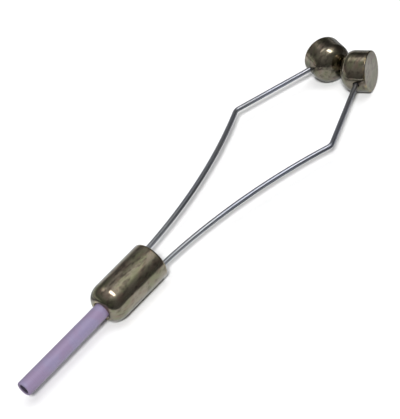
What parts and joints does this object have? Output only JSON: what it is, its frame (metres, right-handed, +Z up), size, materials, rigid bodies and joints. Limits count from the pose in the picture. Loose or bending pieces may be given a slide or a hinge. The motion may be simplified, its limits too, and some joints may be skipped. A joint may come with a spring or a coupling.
{
  "type": "fly tying bobbin holder",
  "caption": "Fly tying bobbin holder: a ceramic thread tube in a turned metal barrel, with bowed spring wire arms that squeeze a thread spool between domed knobs.",
  "frame": {"origin": "middle of the tool's length, on its centre plane, on the surface that the knobs rest on", "axes": "+X along the barrel's axis from the tube's tip to the knobs, +Y to the left arm, +Z up, square to the plane of the arms"},
  "size_m": [0.1032, 0.026, 0.0085],
  "materials": {
    "plated_brass": "polished dark nickel plate over turned brass",
    "spring_steel": "drawn bright spring wire, slightly blue-grey",
    "lilac_ceramic": "ground lilac ceramic, satin"
  },
  "bodies": {
    "barrel": {"barrel": "plated_brass", "ceramic_tube": "lilac_ceramic", "left_arm_root": "spring_steel", "right_arm_root": "spring_steel"},
    "left_arm": {"left_arm_wire": "spring_steel", "left_knob": "plated_brass"},
    "right_arm": {"right_arm_wire": "spring_steel", "right_knob": "plated_brass"}
  },
  "joints": [
    {"name": "left_arm_flex", "type": "hinge", "parent": "barrel", "child": "left_arm", "pos_m": [-0.00577, 0.00364, 0.00425], "axis": [0, 0, 1], "range_deg": [0, 15], "stiffness_Nm_per_rad": 0.34},
    {"name": "right_arm_flex", "type": "hinge", "parent": "barrel", "child": "right_arm", "pos_m": [-0.00577, -0.00364, 0.00425], "axis": [0, 0, -1], "range_deg": [0, 15], "stiffness_Nm_per_rad": 0.34}
  ]
}
